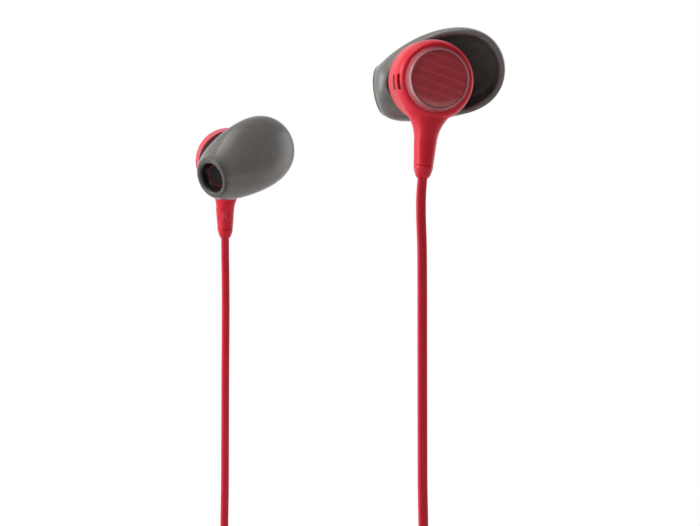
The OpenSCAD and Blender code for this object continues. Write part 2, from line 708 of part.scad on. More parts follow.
module remote_top_shell() color(housing_red) at_remote() difference() {
  remote_outside(0, remote_t / 2, 0, 0.5);
  remote_hollow(-1, roof);
  slab(button_l + 2 * touch, button_w + 2 * touch, 1.2, 0, remote_t);
  translate([mic_x, 0, 0]) cylinder(r = 0.5, h = remote_t, $fn = 24);
}

module remote_base_shell() color(housing_red) at_remote() {
  difference() {
    remote_outside(-remote_t / 2, 0, 0.5, 0);
    remote_hollow(-roof, 1);
  }
  // Two ribs that carry the board
  rib_h = board_top - board_t + roof + eps;
  for (k = [-1, 1]) translate([k * (remote_l / 2 - 5) - 1, -remote_w / 2 + remote_wall, -roof - eps])
    cube([2, remote_w - 2 * remote_wall, rib_h]);
}

module remote_button() color(stem_red) at_remote() {
  slab(button_l, button_w, 1.15, roof - flange_t, remote_t / 2 + button_proud);
  slab(button_l + 1.2, button_w + 1.2, 1.6, roof - flange_t, roof);
}

module remote_board() color(board_green) at_remote()
  slab(remote_l - 2 * remote_wall - 4, remote_w - 2 * remote_wall - 0.2, 1, board_top - board_t, board_top);

module remote_switch() color(steel) at_remote()
  translate([-1.6, -1.4, board_top]) cube([3.2, 2.8, 0.8]);

module remote_microphone() color(steel) at_remote()
  translate([mic_x - 1.5, -1.1, board_top]) cube([3, 2.2, 1]);

module at_plug() {
  translate(rest + plug_place) rotate([-90, 0, 0]) children();
}

pin_r = pin_d / 2;
core_pin_r = 1;
shaft = relief_l + plug_l;             // where the pin starts
sleeve_end = 0.42 * pin_l;
ring_l = 0.13 * pin_l;
band = 0.6;
tip_start = sleeve_end + 2 * ring_l + 3 * band;

module plug_strain_relief() color(stem_red) at_plug() rotate_extrude()
  polygon(concat([[0, 0], [main_d / 2 + 0.4, 0]],
    [for (i = [0 : 3]) let (z = relief_l * (i + 0.5) / 4.5, r = 1.8 + 0.2 * i)
      each [[r, z], [r, z + 0.9], [r - 0.3, z + 0.9], [r - 0.3, z + 1.2]]],
    [[2.7, relief_l - 1], [2.7, relief_l], [0, relief_l]]));

module plug_body() color(housing_red) at_plug() difference() {
  translate([0, 0, relief_l]) rotate_extrude()
    polygon([[0, 0], [plug_d / 2 - 0.6, 0], [plug_d / 2, 0.6], [plug_d / 2, plug_l - 0.8],
      [plug_d / 2 - 0.8, plug_l], [0, plug_l]]);
  disc_between(core_pin_r + touch, shaft - 5, shaft + 1);
}

module plug_sleeve() color(steel) at_plug()
  ring_between(pin_r, core_pin_r + touch, shaft, shaft + sleeve_end);

module plug_rings() color(steel) at_plug() for (k = [0, 1])
  ring_between(pin_r, core_pin_r + touch, shaft + sleeve_end + band + k * (ring_l + band),
    shaft + sleeve_end + band + k * (ring_l + band) + ring_l);

// The insulating rod on the pin's axis, with a collar between each pair of contacts
module plug_insulators() color(frame_black) at_plug() {
  disc_between(core_pin_r, shaft - 5 + touch, shaft + tip_start);
  for (k = [0 : 2]) let (low = shaft + sleeve_end + k * (ring_l + band))
    disc_between(pin_r, low, low + band);
}

module plug_tip() color(steel) at_plug() translate([0, 0, shaft + tip_start]) rotate_extrude()
  polygon([[0, 0], [pin_r, 0], [pin_r, 0.5], [pin_r - 0.45, 1.1], [pin_r - 0.05, pin_l - tip_start - 1.4],
    [0.7, pin_l - tip_start - 0.1], [0, pin_l - tip_start]]);

// A strap round the coil where it runs along X, on the remote's side of its middle
module cable_tie() color(frame_black) translate(rest) difference() {
  translate([-tie_w / 2, -coil_outer_r - main_d / 2 - 0.1 - tie_t, 0])
    cube([tie_w, coil_outer_r - coil_inner_r + main_d + 1 + 2 * tie_t, coil_h + 0.2 + 2 * tie_t]);
  translate([-tie_w, -coil_outer_r - main_d / 2 - 0.1, tie_t])
    cube([2 * tie_w, coil_outer_r - coil_inner_r + main_d + 1, coil_h + 0.2]);
}

left_side() housing();  // left_housing
left_side() stem_nose();  // left_stem_nose
left_side() cord_anchor();  // left_cord_anchor
left_side() lead_wires();  // left_lead_wires
left_side() bezel_ring();  // left_bezel_ring
left_side() face_disc();  // left_face_disc
left_side() vent_screens();  // left_vent_screens
left_side() rear_cover();  // left_rear_cover
left_side() nozzle_mesh();  // left_nozzle_mesh
left_side() ear_tip();  // left_ear_tip
left_side() driver_frame();  // left_driver_frame
left_side() yoke();  // left_yoke
left_side() magnet();  // left_magnet
left_side() pole_plate();  // left_pole_plate
left_side() voice_coil();  // left_voice_coil
left_side() diaphragm();  // left_diaphragm
left_side() front_plate();  // left_front_plate
left_side() terminal_board();  // left_terminal_board
right_side() housing();  // right_housing
right_side() stem_nose();  // right_stem_nose
right_side() cord_anchor();  // right_cord_anchor
right_side() lead_wires();  // right_lead_wires
right_side() bezel_ring();  // right_bezel_ring
right_side() face_disc();  // right_face_disc
right_side() vent_screens();  // right_vent_screens
right_side() rear_cover();  // right_rear_cover
right_side() nozzle_mesh();  // right_nozzle_mesh
right_side() ear_tip();  // right_ear_tip
right_side() driver_frame();  // right_driver_frame
right_side() yoke();  // right_yoke
right_side() magnet();  // right_magnet
right_side() pole_plate();  // right_pole_plate
right_side() voice_coil();  // right_voice_coil
right_side() diaphragm();  // right_diaphragm
right_side() front_plate();  // right_front_plate
right_side() terminal_board();  // right_terminal_board
left_cord_upper();
left_cord_lower();
right_cord();
main_cord_lead();
main_cord_coil();
main_cord_tail();
y_split_top();
y_split_base();
y_split_clamp();
remote_top_shell();
remote_base_shell();
remote_button();
remote_board();
remote_switch();
remote_microphone();
plug_tip();
plug_rings();
plug_sleeve();
plug_insulators();
plug_body();
plug_strain_relief();
cable_tie();
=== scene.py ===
import math

import bmesh
import bpy
import numpy as np
from mathutils import Matrix, Vector


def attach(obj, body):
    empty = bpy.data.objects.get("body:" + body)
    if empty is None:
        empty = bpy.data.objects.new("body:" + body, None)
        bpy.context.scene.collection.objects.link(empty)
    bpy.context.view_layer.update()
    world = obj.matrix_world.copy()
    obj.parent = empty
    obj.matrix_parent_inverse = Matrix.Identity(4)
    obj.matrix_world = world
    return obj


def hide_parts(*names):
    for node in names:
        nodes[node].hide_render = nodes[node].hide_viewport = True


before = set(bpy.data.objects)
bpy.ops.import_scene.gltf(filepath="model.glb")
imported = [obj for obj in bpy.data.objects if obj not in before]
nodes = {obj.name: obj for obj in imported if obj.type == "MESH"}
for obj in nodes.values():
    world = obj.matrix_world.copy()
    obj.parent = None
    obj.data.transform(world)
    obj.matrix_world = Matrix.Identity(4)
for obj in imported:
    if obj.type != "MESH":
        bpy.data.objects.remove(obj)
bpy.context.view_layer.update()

# Camera and studio. A long lens stands a little below the earbuds and looks up past the
# left one to the right one. They stand above a pale table in a white tent, with a soft box
# on each side and one above.
camera_place = (-0.1874, -0.5615, -0.0818)
heading, tilt = math.radians(17.85), math.radians(4.51)
focal_length, sensor_width = 150.8, 36
soft_boxes = (  # name, place, what it faces, size, power
    ("soft_box_left", (-0.60, 0.05, 0.16), (0.006, 0.06, -0.02), 0.5, 3.1),
    ("soft_box_right", (0.54, 0.10, 0.12), (0.006, 0.06, -0.01), 0.4, 0.8),
    ("soft_box_top", (-0.22, -0.06, 0.58), (0.006, 0.06, 0), 0.4, 1.6))
table_half, table_z = 0.9, -0.1084
square = ((-1, -1), (1, -1), (1, 1), (-1, 1))
lit_until, white_from = 0.16, 0.62
tent_glow = 0.15
BLACK, NEAR_WHITE, WHITE = (0, 0, 0, 1), (0.85, 0.85, 0.85, 1), (1, 1, 1, 1)


def aim(thing, place, forward):
    """Puts a lamp or a camera at a place, looking forward."""
    thing.location = place
    thing.rotation_mode = "QUATERNION"
    thing.rotation_quaternion = Vector(forward).to_track_quat("-Z", "Y")
    bpy.context.scene.collection.objects.link(thing)


lens = bpy.data.cameras.new("camera")
lens.lens, lens.sensor_width = focal_length, sensor_width
lens.clip_start, lens.clip_end = 0.01, 20
camera = bpy.data.objects.new("camera", lens)
aim(camera, camera_place, (math.sin(heading) * math.cos(tilt),
                           math.cos(heading) * math.cos(tilt), math.sin(tilt)))
bpy.context.scene.camera = camera
bpy.context.scene.view_settings.view_transform = "Standard"

for name, place, target, size, power in soft_boxes:
    lamp = bpy.data.lights.new(name, "AREA")
    lamp.size, lamp.energy = size, power
    aim(bpy.data.objects.new(name, lamp), place, Vector(target) - Vector(place))


class Wire:
    """An output socket of a material that is being made. Arithmetic on it adds Math nodes."""

    def __init__(self, tree, socket=None):
        self.tree, self.socket = tree, socket

    def node(self, kind, sockets=(), out=0, **settings):
        """Adds a node: its settings first, then the values or links of its sockets."""
        made = self.tree.nodes.new("ShaderNode" + kind)
        for key, value in settings.items():
            setattr(made, key, value)
        for key, value in dict(sockets).items():
            if isinstance(value, Wire):
                self.tree.links.new(value.socket, made.inputs[key])
            else:
                made.inputs[key].default_value = value
        return Wire(self.tree, made.outputs[out] if made.outputs else None)

    def maths(self, operation, *values):
        return self.node("Math", dict(enumerate(values)), operation=operation)

    def __add__(self, other): return self.maths("ADD", self, other)
    def __radd__(self, other): return self.maths("ADD", other, self)
    def __sub__(self, other): return self.maths("SUBTRACT", self, other)
    def __rsub__(self, other): return self.maths("SUBTRACT", other, self)
    def __mul__(self, other): return self.maths("MULTIPLY", self, other)
    def __rmul__(self, other): return self.maths("MULTIPLY", other, self)


def finish(name, surface, **fixed):
    """A material: surface gives what changes over it, fixed what is the same all over."""
    made = bpy.data.materials.new(name)
    made.use_nodes = True
    made.node_tree.nodes.clear()
    wire = Wire(made.node_tree)
    sockets = {key.replace("_", " "): value for key, value in fixed.items()}
    sockets.update(surface(wire))
    wire.node("OutputMaterial", {"Surface": wire.node("BsdfPrincipled", sockets)})
    return made


def colour(red, green, blue):
    """A colour as a screen shows it, turned into the light it stands for."""
    return tuple((v / 255 / 12.92 if v < 11 else ((v / 255 + 0.055) / 1.055) ** 2.4)
                 for v in (red, green, blue)) + (1,)


def between(mask, low, high):
    """A colour from low to high, as the mask goes from 0 to 1."""
    return mask.node("Mix", {0: mask, 6: low, 7: high}, out=2, data_type="RGBA")


def speckle(wire, scale, detail=2.0):
    """Noise over a piece, finer where the scale is larger."""
    place = wire.node("TexCoord", out="Object")
    return wire.node("TexNoise", {"Vector": place, "Scale": scale, "Detail": detail})


def seen_by(wire, *kinds):
    """1 for the rays that show a thing and 0 for those that carry its light."""
    rays = [wire.node("LightPath", out="Is " + kind + " Ray") for kind in kinds]
    return wire.maths("MINIMUM", sum(rays[1:], rays[0]), 1.0)


def table_top(wire):
    cloud = speckle(wire, 6.0)
    away = wire.node("VectorMath", {0: wire.node("TexCoord", out="Object")}, out="Value",
                     operation="LENGTH")
    fade = wire.node("MapRange", {"Value": away, "From Min": lit_until, "From Max": white_from})
    seen = seen_by(wire, "Camera", "Glossy", "Transmission")
    return {"Base Color": between(cloud, colour(236, 235, 233), colour(243, 242, 240)),
            "Roughness": 0.55 + 0.1 * cloud,
            "Emission Color": between(fade * seen, BLACK, NEAR_WHITE)}


table_mesh = bpy.data.meshes.new("table")
table_mesh.from_pydata([(x * table_half, y * table_half, table_z) for x, y in square],
                       [], [(0, 1, 2, 3)])
table_mesh.materials.append(finish("table_top", table_top, Emission_Strength=1.0))
table = bpy.data.objects.new("table", table_mesh)
bpy.context.scene.collection.objects.link(table)

world = bpy.data.worlds.new("tent")
bpy.context.scene.world = world
world.use_nodes = True
world.node_tree.nodes.clear()
sky = Wire(world.node_tree)
toward = sky.node("SeparateXYZ", {"Vector": sky.node("TexCoord", out="Generated")}, out="Y")
behind = sky.node("MapRange", {"Value": toward, "From Min": -0.2, "From Max": 0.9})
seen = sky.maths("MAXIMUM", seen_by(sky, "Camera", "Transmission"),
                 seen_by(sky, "Glossy") * behind)
sky.node("OutputWorld", {"Surface": sky.node("Background", {
    "Color": WHITE, "Strength": tent_glow + (1 - tent_glow) * seen})})

# Leads. Each earbud hangs on a flat lead with a soft red sheath over enamelled copper. It
# is extruded in one length and comes straight out of the stem, falls to the table and lies
# there in loose bends round the coil of the main cord.

# Sizes are in millimetres. Each earbud has its own frame: its drum lies on the Y axis,
# with the inner side at +Y, its stem hangs down, and the right one is a mirror image.
# The slack has its own too, on the table below the middle of the pair.
PER_METRE = 1000
stem_x, stem_y, nose_end = -0.75, -2.4, -19.6
slack = np.array([6.2019, 62.2716, -107.9857])
lead_width, lead_thickness, lead_corner, lead_sides = 2.0, 1.2, 0.8, 24
lying, in_splitter, in_remote = lead_thickness / 2, 2, 2.8
left_fall, right_fall = (-2.1, -75.8), (1.3, 83.1)
straight_out, fall_r, left_loop_r, right_loop_r = 2.5, 10, 25.5, 22.5
splitter_turn = 70
ring_gap = 1.5


def placed(place, yaw, pitch, roll, mirrored):
    """What takes an earbud's own frame to its place, turned by three angles."""
    flip = Matrix.Scale(-1, 4, (0, 1, 0)) if mirrored else Matrix.Identity(4)
    return (Matrix.Translation(place) @ flip @ Matrix.Rotation(math.radians(yaw), 4, "Z")
            @ Matrix.Rotation(math.radians(pitch), 4, "X")
            @ Matrix.Rotation(math.radians(-roll), 4, "Y"))


earbuds = {"left": placed((6.2019, -12.7284, 0.6143), -3, 4.5, -3.5, False),
           "right": placed((6.2019, 137.2716, 0.6143), 5, -15, 3, True)}


def moved(side, points):
    """Points of an earbud's own frame, taken to their place."""
    m = np.array(earbuds[side])
    return np.asarray(points, float) @ m[:3, :3].T + m[:3, 3]


def skin(rows, sides, capped=False, closed=False):
    """Faces over rows of points, joined row to row."""
    faces = []
    for k in range(rows if closed else rows - 1):
        low, high = k * sides, (k + 1) % rows * sides
        for i in range(sides):
            j = (i + 1) % sides
            faces.append((low + i, low + j, high + j, high + i))
    if capped:
        faces += [tuple(range(sides))[::-1], tuple(range((rows - 1) * sides, rows * sides))]
    return faces


def add(name, form, material, replaced=(), body="earphones", smooth=40):
    """Makes a piece from points and faces."""
    points, faces = form
    mesh = bpy.data.meshes.new(name)
    mesh.from_pydata([tuple(p) for p in points / PER_METRE], [], faces)
    return add_mesh(name, mesh, material, replaced, body, smooth)


def add_mesh(name, mesh, material, replaced=(), body="earphones", smooth=40):
    """Makes a piece from a mesh: its finish, its shading, its body and what it stands for."""
    mesh.materials.clear()
    mesh.materials.append(material)
    mesh.set_sharp_from_angle(angle=math.radians(smooth))
    for face in mesh.polygons:
        face.use_smooth = True
    piece = bpy.data.objects.new(name, mesh)
    bpy.context.scene.collection.objects.link(piece)
    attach(piece, body)
    if replaced:
        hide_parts(*replaced)
    return piece


def bump(height, strength, distance):
    """The fine relief of a surface."""
    return height.node("Bump", {"Height": height, "Strength": strength, "Distance": distance})


def cord_sheath(wire):
    cloud, grain = speckle(wire, 300.0), speckle(wire, 5200.0, 1.0)
    return {"Base Color": between(cloud, colour(208, 22, 48), colour(220, 32, 58)),
            "Roughness": 0.34 + 0.16 * cloud,
            "Normal": bump(grain, 0.25, 0.00004)}


def arc(centre, radius, start, end, steps, z0=lying, z1=lying):
    """Points of an arc seen from above, between two angles and two heights."""
    turns = np.radians(np.linspace(start, end, steps + 1))
    return [(centre[0] + radius * math.cos(a), centre[1] + radius * math.sin(a), z)
            for a, z in zip(turns, np.linspace(z0, z1, steps + 1))]


def foot(x, y, way):
    """The bend of a hanging lead into the table."""
    return [(x, y + way * fall_r * (1 - math.cos(a)), lying + fall_r * (1 - math.sin(a)))
            for a in np.radians([0, 22.5, 45, 67.5, 90])]


def at_splitter(radius, past):
    """A point of the line on which a cord passes through the splitter."""
    a = math.radians(splitter_turn)
    return (radius * math.cos(a) - past * math.sin(a),
            radius * math.sin(a) + past * math.cos(a), in_splitter)


def hermite(s, start, leaving, stop, arriving):
    """A smooth curve between two points, at s from 0 to 1, by how it leaves and arrives."""
    return ((2 * s**3 - 3 * s**2 + 1) * start + (s**3 - 2 * s**2 + s) * leaving
            + (3 * s**2 - 2 * s**3) * stop + (s**3 - s**2) * arriving)


def eased(points):
    """A smooth line through the points, in steps of about a ring's gap."""
    p = np.array(points, float)
    gap = np.linalg.norm(np.diff(p, axis=0), axis=1)[:, None]
    slope = np.diff(p, axis=0) / gap
    turn = np.vstack([slope[:1], (slope[:-1] * gap[1:] + slope[1:] * gap[:-1])
                      / (gap[1:] + gap[:-1]), slope[-1:]])
    line = []
    for k in range(len(gap)):
        count = max(2, round(float(gap[k, 0]) / ring_gap) + 1)
        s = np.linspace(0, 1, count, endpoint=False)[:, None]
        line.append(hermite(s, p[k], gap[k] * turn[k], p[k + 1], gap[k] * turn[k + 1]))
    return np.vstack(line + [p[-1:]])


def oval(sides, power):
    """The two coordinates round a soft-cornered oval that reaches from -1 to 1."""
    turns = np.linspace(0, 2 * math.pi, sides, endpoint=False)
    c, s = np.cos(turns), np.sin(turns)
    return np.sign(c) * abs(c) ** power, np.sign(s) * abs(s) ** power


def ribbon(line, upright):
    """A flat lead along a line. Where it hangs, its width lies along upright."""
    way = np.gradient(line, axis=0)
    way /= np.linalg.norm(way, axis=1)[:, None]
    across, through = oval(lead_sides, lead_corner)
    rings = []
    for p, t in zip(line, way):
        lies = math.hypot(t[0], t[1]) > 0.3
        w = np.array([t[1], -t[0], 0] if lies else upright, float)
        w -= w @ t * t
        w /= np.linalg.norm(w)
        rings.append(p + np.outer(lead_width / 2 * across, w)
                     + np.outer(lead_thickness / 2 * through, np.cross(w, t)))
    return np.vstack(rings), skin(len(line), lead_sides, True)


exits, drops = ({side: moved(side, [stem_x, stem_y, z]) - slack for side in earbuds}
                for z in (nose_end, nose_end - straight_out))
left_upper = eased(
    [exits["left"], drops["left"]] + [(*left_fall, z) for z in (74, 52, 30)]
    + foot(*left_fall, 1) + arc((8, -66), 10, 157.5, 90, 3) + arc((8, -48), 8, -67.5, 90, 7)
    + [(-5, -40, lying)] + arc((-18, -34.5), 5.5, 270, 90, 6, lying, in_remote)
    + [(-15, -29, in_remote)]) + slack
left_lower = eased(
    [(19, -29, in_remote)] + arc((19.5, -23), 6, -85, 0, 4, in_remote, lying)
    + [(left_loop_r, -11, lying)] + arc((0, 0), left_loop_r, 0, 50, 4)
    + [at_splitter(left_loop_r, -3), at_splitter(left_loop_r, 0)]) + slack
right_whole = eased(
    [exits["right"], drops["right"]] + [(*right_fall, z) for z in (78, 54, 30)]
    + foot(*right_fall, -1) + arc((-10.2, 73.1), 11.5, -22.5, -90, 3)
    + arc((-10.5, 49.6), 12, 112.5, 180, 3)
    + [(-right_loop_r, 34, lying), (-right_loop_r, 17, lying)]
    + arc((0, 0), right_loop_r, 180, 410, 15)
    + [at_splitter(right_loop_r, -3), at_splitter(right_loop_r, 0)]) + slack
splitter = [nodes["y_split_" + n] for n in ("top", "base", "clamp")]
remote = [nodes["remote_" + n]
          for n in ("top_shell", "base_shell", "button", "board", "switch", "microphone")]
sheath = finish("cord_red", cord_sheath, Specular_IOR_Level=0.45)
for name, line, upright, end, pieces in (
        ("left_cord_upper", left_upper, (1, 0, 0), "fitting", remote),
        ("left_cord_lower", left_lower, (1, 0, 0), "fitting", splitter),
        ("right_cord", right_whole, (-1, 0, 0), "object", ())):
    lead = add(name + "_sheath", ribbon(line, upright), sheath, [name])

# Main cord. A round cord of the same sheath runs from the splitter into a tidy coil of
# four layers of two turns, inwards and outwards by turns, and from its top down to the
# plug. It is one length, put away as it comes out of its box.
cord_d = 2.6
inner_r, outer_r, turn_gap, layer_gap, first_z = 11.8, 18.2, 3.2, 3.1, 2.2
wound, to_next, coil_end, coil_step = 720, 900, 3420, 7.5  # in degrees
swing = 0.7
coil = []
for a in np.arange(0, coil_end + 0.1, coil_step):
    layer, turn = divmod(a, to_next)
    way, start = (1, inner_r) if layer % 2 else (-1, outer_r)
    over = math.radians(max(0, turn - wound))
    reach = start + way * (turn_gap * min(turn, wound) / 360 + swing * math.sin(over))
    coil.append((-reach * math.cos(math.radians(a)), -reach * math.sin(math.radians(a)),
                 first_z + layer_gap * (layer + (1 - math.cos(over)) / 2)))
into_coil = eased(
    [at_splitter(24, 14)] + arc((-10.1, 20.7), 8.1, splitter_turn, 180, 5, in_splitter, first_z)
    + [(-outer_r, 10, first_z), (-outer_r, 2.6, first_z), coil[0]])
to_plug = eased([coil[-1]] + [(outer_r, y, z) for y, z in (
    (2.6, 11.5), (9, 11.2), (16, 9.6), (24, 6.6), (31, 4.2), (38, 3.2), (44, 3.2))])
main_run = np.vstack([into_coil[:-1], coil, to_plug[1:]]) + slack
cable = bpy.data.curves.new("main_cord", "CURVE")
cable.dimensions, cable.bevel_resolution, cable.use_fill_caps = "3D", 4, True
cable.bevel_depth = cord_d / 2 / PER_METRE
spline = cable.splines.new("POLY")
spline.points.add(len(main_run) - 1)
for point, place in zip(spline.points, main_run / PER_METRE):
    point.co = (*place, 1)
spline.use_smooth = True
cable.materials.append(sheath)
main_cord = bpy.data.objects.new("main_cord", cable)
bpy.context.scene.collection.objects.link(main_cord)
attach(main_cord, "earphones")
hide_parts("main_cord_lead", "main_cord_coil", "main_cord_tail")

# Drum housings. Each drum and its stem are one moulding in satin red plastic with a fine
# grain. A groove in its face takes the ring and the disc, two slots in its forward edge
# vent the chamber, and the stem's foot is hollowed for the lead's anchor.
drum_r, drum_face, drum_inner = 8.15, -5, 3.2
edge_across, edge_deep = 1.25, 3.2
seat_r, seat_y, window_r = 6.65, -4.65, 5.2
chamber_r, chamber_y = 6.35, -3.9
speaker_r, speaker_y, rim_y = 7.15, -1.4, 2.0
past_face, past_side, past_back = -8, 14, 6
stem_root, flare_top, flare_end, stem_end = 4.7, 6.298, 12.48, 17.2
stem_half, stem_deep, flare_r, taper = 2.25, 2.1, 8, 0.35
root_half, root_lean, root_swell = 5.173, 0.9, 1.3
stem_sides, stem_corner = 64, 0.85
vents, vent_z = ((-6.95, -4.0), (-7.45, -1.9)), -1.1
vent_width, vent_length, hole_d, hole_gap = 0.9, 3.2, 0.6, 0.8
anchor_half_x, anchor_half_y, anchor_top = 1.2, 0.95, -12.8


def satin_red(wire):
    cloud, grain = speckle(wire, 160.0), speckle(wire, 7000.0, 1.0)
    return {"Base Color": between(cloud, colour(220, 18, 46), colour(230, 26, 54)),
            "Roughness": 0.3 + 0.1 * cloud + 0.06 * grain,
            "Normal": bump(grain, 0.35, 0.00003)}


def lathe(outline, sides=96):
    """Turns a closed outline of (radius, height) points about the Y axis."""
    turns = np.linspace(0, 2 * math.pi, sides, endpoint=False)
    points = [(r * math.cos(a), y, r * math.sin(a)) for r, y in outline for a in turns]
    return np.array(points), skin(len(outline), sides, closed=True)


def spread(outline, gap):
    """Adds points to an outline so that none are further apart than the gap."""
    made = []
    for (r0, y0), (r1, y1) in zip(outline, outline[1:] + outline[:1]):
        n = max(1, math.ceil(math.hypot(r1 - r0, y1 - y0) / gap))
        made += [(r0 + (r1 - r0) * i / n, y0 + (y1 - y0) * i / n) for i in range(n)]
    return made


def bend(centre, rx, ry, start, end, steps):
    """The points of a rounded stretch in an outline."""
    return [(centre[0] + rx * math.cos(a), centre[1] + ry * math.sin(a))
            for a in np.radians(np.linspace(start, end, steps + 1))]


def half_width(depth):
    """Half the stem's width below the drum's middle: a flare, then a slight taper."""
    if depth < flare_top:
        return root_half
    if depth < flare_end:
        return stem_half + flare_r - math.sqrt(flare_r ** 2 - (flare_end - depth) ** 2)
    return stem_half - taper * (depth - flare_end) / (stem_end - flare_end)


def stem_ring(x, y, half_x, half_y, z):
    """One level of the stem's soft-cornered oval."""
    across, through = oval(stem_sides, stem_corner)
    return np.stack([x + half_x * across, y + half_y * through, np.full(stem_sides, z)], axis=1)


def stem_skin():
    """The outside of the stem, from within the drum down to its open end."""
    rings = []
    for depth in np.linspace(stem_root, stem_end, 61):
        grow = max(0, flare_end - depth) / (flare_end - stem_root)
        rings.append(stem_ring(stem_x * min(1, depth / flare_end), stem_y + root_lean * grow,
                               half_width(depth), stem_deep + root_swell * grow, -depth))
    return np.vstack(rings), skin(len(rings), stem_sides, True)


def joined(*forms):
    """One set of points and faces from several."""
    points, faces, start = [], [], 0
    for p, f in forms:
        points.append(p)
        faces += [tuple(i + start for i in face) for face in f]
        start += len(p)
    return np.vstack(points), faces


def capsule(x0, x1, y, z, width, length, steps=12):
    """A round-ended bar along X, its section long in Z."""
    r, straight = width / 2, length / 2 - width / 2
    outline = [(r * math.cos(a), straight * (1 if i <= steps else -1) + r * math.sin(a))
               for i, a in enumerate(np.linspace(0, 2 * math.pi, 2 * steps + 2))]
    return (np.array([(x, y + u, z + v) for x in (x0, x1) for u, v in outline]),
            skin(2, len(outline), True))


def rough(name, form, side):
    """A loose mesh in its earbud's place, used as a blank or as a cutter."""
    mesh = bpy.data.meshes.new(name)
    mesh.from_pydata([tuple(p) for p in moved(side, form[0]) / PER_METRE], [], form[1])
    tool = bpy.data.objects.new(name, mesh)
    bpy.context.scene.collection.objects.link(tool)
    fix = bmesh.new()
    fix.from_mesh(mesh)
    bmesh.ops.remove_doubles(fix, verts=fix.verts, dist=1e-8)
    bmesh.ops.recalc_face_normals(fix, faces=fix.faces)
    fix.to_mesh(mesh)
    return tool


def baked(blank):
    """The mesh that a blank and its modifiers make. The blank is used up."""
    graph = bpy.context.evaluated_depsgraph_get()
    mesh = bpy.data.meshes.new_from_object(blank.evaluated_get(graph))
    bpy.data.objects.remove(blank)
    return mesh


moulded_red = finish("housing_red", satin_red, Specular_IOR_Level=0.4)
drum_blank = lathe(spread(
    [(0, drum_face)]
    + bend((drum_r - edge_across, drum_face + edge_deep), edge_across, edge_deep, -90, 0, 16)
    + [(drum_r, drum_inner), (0, drum_inner)], 0.6))
drum_bore = lathe([
    (0, past_face), (seat_r, past_face), (seat_r, seat_y), (window_r, seat_y),
    (window_r, chamber_y), (chamber_r, chamber_y), (chamber_r, speaker_y),
    (speaker_r, speaker_y), (speaker_r, rim_y), (past_side, rim_y), (past_side, past_back),
    (0, past_back)])
slots = [capsule(-11, x, y, vent_z, vent_width, vent_length) for x, y in vents]
holes = [capsule(-8, -5.9, y, vent_z + i * hole_gap, hole_d, hole_d + 0.002)
         for _, y in vents for i in (-1, 0, 1)]
pocket = (np.array([(stem_x + anchor_half_x * x, stem_y + anchor_half_y * y, z)
                    for z in (anchor_top, -stem_end - 1) for x, y in square]), skin(2, 4, True))
for side in earbuds:
    blank = rough(side + "_blank", joined(drum_blank, stem_skin()), side)
    weld = blank.modifiers.new("one_moulding", "REMESH")
    weld.mode, weld.voxel_size = "VOXEL", 0.00016
    ease = blank.modifiers.new("ease", "SMOOTH")
    ease.factor, ease.iterations = 0.5, 8
    cutters = [rough("cutter", form, side)
               for form in (drum_bore, joined(*slots), joined(*holes), pocket)]
    for cutter in cutters:
        cut = blank.modifiers.new("cut", "BOOLEAN")
        cut.operation, cut.solver, cut.object = "DIFFERENCE", "EXACT", cutter
    housing = baked(blank)
    for cutter in cutters:
        bpy.data.objects.remove(cutter)
    add_mesh(side + "_drum_and_stem", housing, moulded_red, [side + "_housing"],
             smooth=50)

# Stem noses and lead anchors. A glossy red cap closes each stem and slopes in to the lead.
# Inside it the lead's end is moulded into a block, which holds it in the stem's foot.
nose_rows = (  # half width, half depth and height, from the lead up
    (1.2, 0.95, nose_end), (1.37, 1.3, -19.35), (1.55, 1.6, -18.9), (1.73, 1.86, -18.3),
    (1.88, 2.06, -17.7), (1.9, 2.1, -17.24), (1.88, 2.09, -stem_end))


def gloss_red(wire):
    cloud = speckle(wire, 220.0)
    return {"Base Color": between(cloud, colour(216, 18, 45), colour(226, 24, 52)),
            "Roughness": 0.2 + 0.1 * cloud}


def turned(form):
    """The same form with its faces turned over."""
    return form[0], [face[::-1] for face in form[1]]


def in_place(side, form):
    """A form in its earbud's place. The right one's mirror image turns its faces over."""
    return moved(side, form[0]), (turned(form) if side == "right" else form)[1]


def dressed(node, material):
    """A CAD node that keeps its shape and gets its finish."""
    nodes[node].data.materials.clear()
    nodes[node].data.materials.append(material)


polished_red = finish("nose_red", gloss_red, Specular_IOR_Level=0.3, Coat_Weight=0.15,
                      Coat_Roughness=0.08)
nose = (np.vstack([stem_ring(stem_x, stem_y, *row) for row in nose_rows]),
        skin(len(nose_rows), stem_sides, True))
for side in earbuds:
    add(side + "_nose_cap", in_place(side, nose), polished_red, [side + "_stem_nose"])
    dressed(side + "_cord_anchor", sheath)

# Side letters. A plain letter stands on the inner face of each stem, raised in the mould
# with the housing. Its face is given a lighter red than the satin round it, a painted sheen for
# its polish.
letter_x, letter_z = -1.2, -13.8
letter_size, letter_depth, letter_weight = 2.8, 0.1, 0.07


def letter_painted_sheen(wire):
    cloud = speckle(wire, 260.0)
    # Painted sheen: this lighter red stands in for the shine of the raised letter's polished
    # face.
    return {"Base Color": between(cloud, colour(248, 58, 90), colour(254, 70, 102)),
            "Roughness": 0.26 + 0.1 * cloud}


def stem_back(across):
    """Where the stem's inner face lies along Y, at a distance from the letter's middle."""
    off_middle, half = 0.2, 2.2
    return stem_y + stem_deep * (1 - ((abs(across) + off_middle) / half) ** 2.35) ** 0.425


